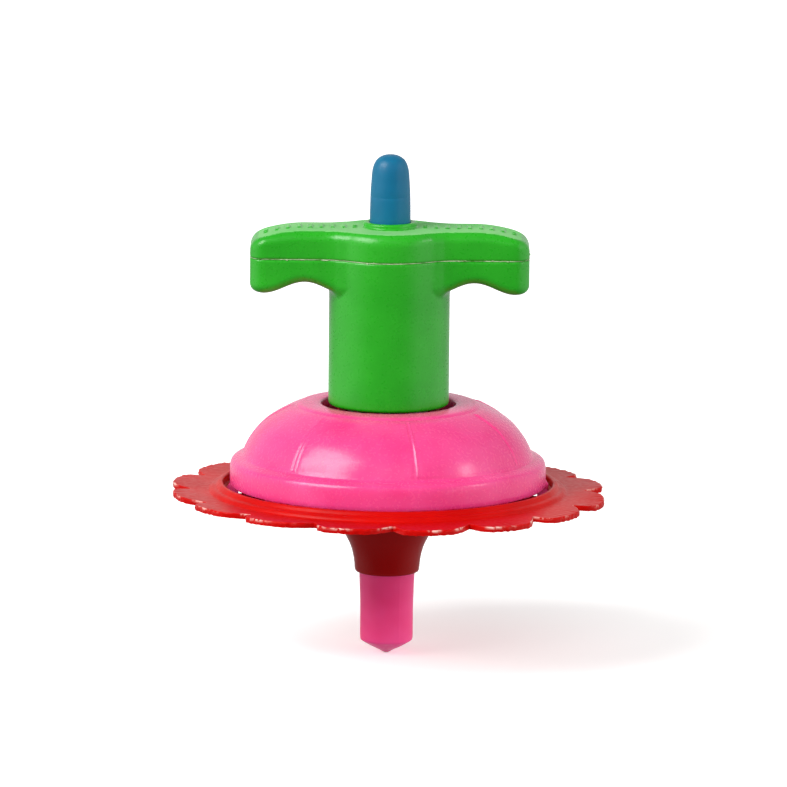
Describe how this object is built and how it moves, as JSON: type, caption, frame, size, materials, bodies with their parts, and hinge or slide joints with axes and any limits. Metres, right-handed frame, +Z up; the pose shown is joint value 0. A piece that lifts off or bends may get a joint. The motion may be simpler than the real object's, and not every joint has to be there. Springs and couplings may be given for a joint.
{
  "type": "spinning top",
  "caption": "Spinning top with a lobed disc, a dome and a blunt stem, held on a T-handled spring launcher with a push button.",
  "frame": {"origin": "the point of the stem's cone, on the spin axis, under the middle of the object", "axes": "+Z up along the spin axis, +X along the handle's bar, -Y towards the side that faces the viewer"},
  "size_m": [0.07, 0.07, 0.0821],
  "materials": {
    "green_plastic": "moulded polystyrene, semi-gloss, with a matt top face",
    "dark_green_plastic": "moulded, semi-gloss",
    "blue_plastic": "moulded, satin",
    "pink_plastic": "moulded, glossy, faintly translucent",
    "red_plastic": "moulded, glossy",
    "white_plastic": "natural acetal, satin",
    "spring_steel": "bright drawn wire and strip"
  },
  "bodies": {
    "launcher": {"handle_cap": "green_plastic", "handle_body": "green_plastic", "end_bush": "dark_green_plastic", "ratchet_pawl": "spring_steel", "mainspring": "spring_steel", "button_spring": "spring_steel"},
    "button": {"push_button": "blue_plastic"},
    "spindle": {"spindle": "white_plastic", "ratchet_wheel": "white_plastic", "retaining_clip": "spring_steel", "thrust_washer": "spring_steel"},
    "top": {"dome": "pink_plastic", "flower_disc": "red_plastic", "spin_stem": "pink_plastic"}
  },
  "joints": [
    {"name": "button_press", "type": "slide", "parent": "launcher", "child": "button", "axis": [0, 0, -1], "range_m": [0, 0.0055], "stiffness_N_per_m": 250, "springref_m": -0.004, "deforming": ["button_spring"]},
    {"name": "spindle_turn", "type": "hinge", "parent": "launcher", "child": "spindle", "pos_m": [0, 0, 0.05], "axis": [0, 0, 1], "range_deg": [-990, 0], "stiffness_Nm_per_rad": 0.0022, "deforming": ["mainspring", "ratchet_pawl"]},
    {"name": "top_release", "type": "slide", "parent": "spindle", "child": "top", "axis": [0, 0, -1], "range_m": [0, 0.0055]}
  ],
  "couplings": [
    {"joint": "top_release", "follows": "button_press", "ratio": 1}
  ]
}
